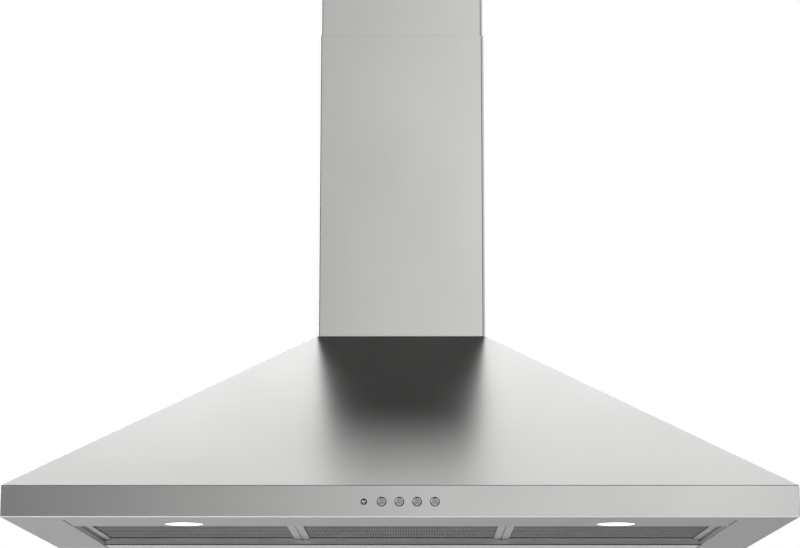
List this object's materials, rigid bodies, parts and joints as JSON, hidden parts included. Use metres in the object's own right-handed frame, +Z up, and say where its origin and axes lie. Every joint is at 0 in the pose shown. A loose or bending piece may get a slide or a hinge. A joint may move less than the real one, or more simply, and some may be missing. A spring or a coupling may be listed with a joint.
{
  "type": "chimney range hood",
  "caption": "Wall-mounted pyramid range hood in brushed steel with a telescoping chimney, hinged grease filters, push buttons, lamps and a blower.",
  "frame": {"origin": "point on the wall plane, on the centreline, at the height of the hanging keyholes' slot ends", "axes": "+Z up, +X to the right seen from the front, +Y back towards the wall; the hood faces -Y"},
  "size_m": [0.9, 0.4426, 0.6824],
  "materials": {
    "hood_steel": "brushed along X",
    "band_steel": "brushed along X",
    "chimney_steel": "brushed along X",
    "galvanised_sheet": "spangled zinc",
    "zinc_plate": "bright zinc",
    "filter_frame_aluminium": "satin",
    "filter_mesh_aluminium": "expanded mesh",
    "button_metal": "satin chrome",
    "indicator_red": "translucent",
    "lamp_lens": "frosted, lit",
    "black_plastic": "moulded",
    "grey_plastic": "moulded",
    "white_plastic": "moulded",
    "motor_metal": "cast",
    "shaft_steel": "ground"
  },
  "bodies": {
    "root": {"canopy_shell": "hood_steel", "skirt_band": "band_steel", "back_panel": "hood_steel", "filter_tray": "hood_steel", "lower_chimney_cover": "chimney_steel", "cover_screw_left": "zinc_plate", "cover_screw_right": "zinc_plate", "lamp_housing_left": "zinc_plate", "lamp_housing_right": "zinc_plate", "lamp_lens_left": "lamp_lens", "lamp_lens_right": "lamp_lens", "switch_box": "black_plastic", "indicator_lens": "indicator_red", "blower_box": "galvanised_sheet", "box_screw_1": "zinc_plate", "box_screw_2": "zinc_plate", "box_screw_3": "zinc_plate", "box_screw_4": "zinc_plate", "scroll_housing": "grey_plastic", "fan_motor": "motor_metal", "motor_bracket": "galvanised_sheet", "outlet_collar": "black_plastic", "damper_rod": "zinc_plate", "terminal_box": "white_plastic", "cable_gland": "black_plastic", "run_capacitor": "white_plastic", "capacitor_clip": "galvanised_sheet", "lamp_driver": "white_plastic"},
    "upper_chimney": {"upper_chimney_cover": "chimney_steel", "chimney_bracket": "galvanised_sheet", "bracket_screw_left": "zinc_plate", "bracket_screw_right": "zinc_plate"},
    "button_1": {"push_button_1": "button_metal"},
    "button_2": {"push_button_2": "button_metal"},
    "button_3": {"push_button_3": "button_metal"},
    "button_4": {"push_button_4": "button_metal"},
    "filter_left": {"filter_frame_left": "filter_frame_aluminium", "filter_net_left": "filter_mesh_aluminium", "filter_core_left": "filter_mesh_aluminium"},
    "latch_left": {"filter_latch_left": "black_plastic"},
    "filter_centre": {"filter_frame_centre": "filter_frame_aluminium", "filter_net_centre": "filter_mesh_aluminium", "filter_core_centre": "filter_mesh_aluminium"},
    "latch_centre": {"filter_latch_centre": "black_plastic"},
    "filter_right": {"filter_frame_right": "filter_frame_aluminium", "filter_net_right": "filter_mesh_aluminium", "filter_core_right": "filter_mesh_aluminium"},
    "latch_right": {"filter_latch_right": "black_plastic"},
    "fan": {"impeller": "black_plastic", "motor_shaft": "shaft_steel"},
    "flap_front": {"damper_flap_front": "grey_plastic"},
    "flap_rear": {"damper_flap_rear": "grey_plastic"}
  },
  "joints": [
    {"name": "chimney_slide", "type": "slide", "parent": "root", "child": "upper_chimney", "axis": [0, 0, 1], "range_m": [-0.025, 0.29]},
    {"name": "button_1_press", "type": "slide", "parent": "root", "child": "button_1", "axis": [0, 1, 0], "range_m": [0, 0.0018], "stiffness_N_per_m": 400},
    {"name": "button_2_press", "type": "slide", "parent": "root", "child": "button_2", "axis": [0, 1, 0], "range_m": [0, 0.0018], "stiffness_N_per_m": 400},
    {"name": "button_3_press", "type": "slide", "parent": "root", "child": "button_3", "axis": [0, 1, 0], "range_m": [0, 0.0018], "stiffness_N_per_m": 400},
    {"name": "button_4_press", "type": "slide", "parent": "root", "child": "button_4", "axis": [0, 1, 0], "range_m": [0, 0.0018], "stiffness_N_per_m": 400},
    {"name": "filter_left_swing", "type": "hinge", "parent": "root", "child": "filter_left", "pos_m": [-0.25517, -0.0495, -0.163], "axis": [1, 0, 0], "range_deg": [0, 70]},
    {"name": "filter_centre_swing", "type": "hinge", "parent": "root", "child": "filter_centre", "pos_m": [0, -0.0495, -0.163], "axis": [1, 0, 0], "range_deg": [0, 70]},
    {"name": "filter_right_swing", "type": "hinge", "parent": "root", "child": "filter_right", "pos_m": [0.25517, -0.0495, -0.163], "axis": [1, 0, 0], "range_deg": [0, 70]},
    {"name": "latch_left_slide", "type": "slide", "parent": "filter_left", "child": "latch_left", "axis": [0, 1, 0], "range_m": [0, 0.006], "stiffness_N_per_m": 300},
    {"name": "latch_centre_slide", "type": "slide", "parent": "filter_centre", "child": "latch_centre", "axis": [0, 1, 0], "range_m": [0, 0.006], "stiffness_N_per_m": 300},
    {"name": "latch_right_slide", "type": "slide", "parent": "filter_right", "child": "latch_right", "axis": [0, 1, 0], "range_m": [0, 0.006], "stiffness_N_per_m": 300},
    {"name": "fan_spin", "type": "hinge", "parent": "root", "child": "fan", "pos_m": [0.017, -0.092, 0.1753], "axis": [1, 0, 0], "continuous": true},
    {"name": "flap_front_lift", "type": "hinge", "parent": "root", "child": "flap_front", "pos_m": [0, -0.107, 0.3275], "axis": [-1, 0, 0], "range_deg": [0, 75]},
    {"name": "flap_rear_lift", "type": "hinge", "parent": "root", "child": "flap_rear", "pos_m": [0, -0.107, 0.3275], "axis": [1, 0, 0], "range_deg": [0, 75]}
  ]
}
